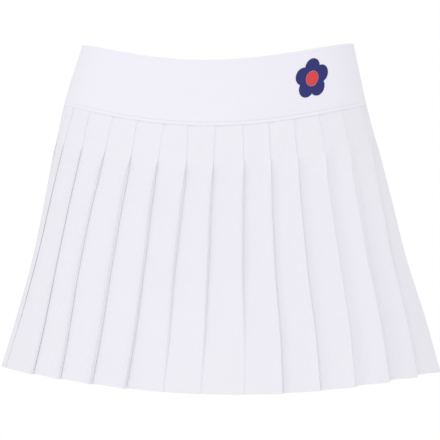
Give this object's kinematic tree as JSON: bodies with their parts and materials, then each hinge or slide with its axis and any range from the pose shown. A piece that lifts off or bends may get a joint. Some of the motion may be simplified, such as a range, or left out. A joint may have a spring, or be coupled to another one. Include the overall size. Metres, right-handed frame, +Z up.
{
  "type": "pleated tennis skirt",
  "caption": "Short white skirt with a wide plain contoured yoke and knife pleats stitched flat below it, filled out and hollow, with a small two-colour flower on the yoke.",
  "frame": {"origin": "middle of the waist opening, level with the highest points of the waist edge at the two sides, where the wearer's waist holds the skirt", "axes": "+Z up, out of the waist; the front faces -Y; +X runs across the front to the viewer's right, the skirt's widest way"},
  "size_m": [0.4684, 0.2663, 0.368],
  "materials": {
    "yoke_cloth": "smooth matt double-layer knit",
    "pleat_cloth": "matt pressed plain weave",
    "navy_film": "smooth printed transfer",
    "red_film": "smooth printed transfer"
  },
  "bodies": {
    "root": {"yoke_front": "yoke_cloth", "yoke_back": "yoke_cloth", "pleats_front": "pleat_cloth", "pleats_back": "pleat_cloth", "emblem_petals": "navy_film", "emblem_centre": "red_film"}
  },
  "joints": []
}
